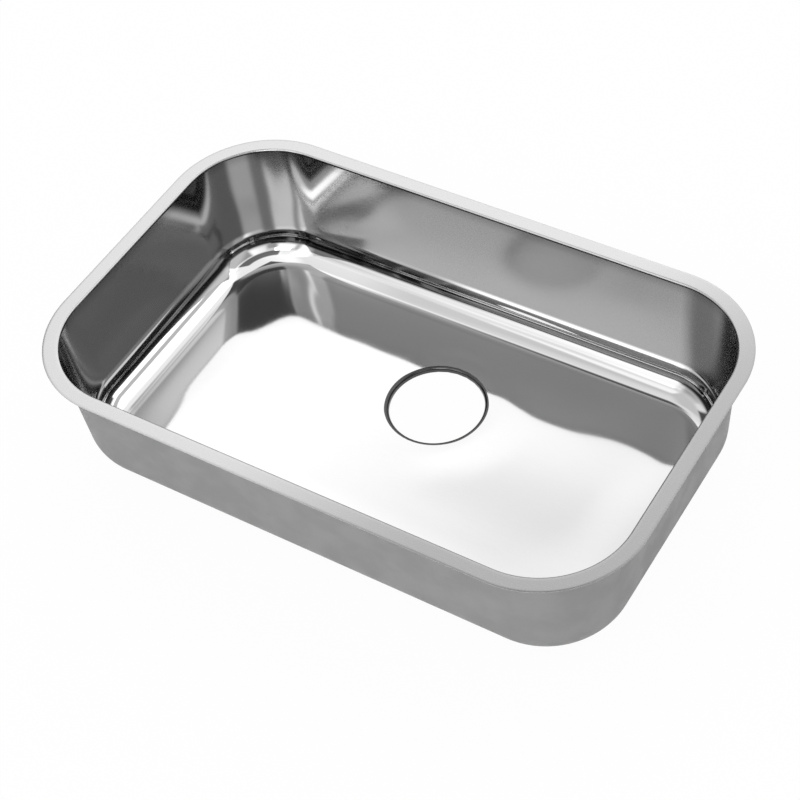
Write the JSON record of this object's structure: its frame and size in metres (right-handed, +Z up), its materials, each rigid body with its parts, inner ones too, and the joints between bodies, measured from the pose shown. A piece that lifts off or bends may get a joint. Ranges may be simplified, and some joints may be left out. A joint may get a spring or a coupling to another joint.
{
  "type": "undermount kitchen sink",
  "caption": "Single-bowl undermount kitchen sink, a polished pressed basin with a narrow flat flange, wide corner radii, a rear-set open drain hole, a sprayed undercoat and sound pads.",
  "frame": {"origin": "centre of the flange's top face, in the plane that is clamped under the worktop", "axes": "+Z up, +X along the bowl's length to the right, +Y to the back wall, the side that the drain hole is nearer to"},
  "size_m": [0.59, 0.37, 0.134],
  "materials": {
    "polished_steel": "mirror polished inside, satin on the flange",
    "sprayed_coat": "sprayed sound-deadening coat, matt grey with a fine orange peel",
    "pad_rubber": "matt black rubber sheet"
  },
  "bodies": {
    "root": {"bowl": "polished_steel", "undercoat": "sprayed_coat", "floor_pad_left": "pad_rubber", "floor_pad_right": "pad_rubber", "floor_pad_front": "pad_rubber"}
  },
  "joints": []
}
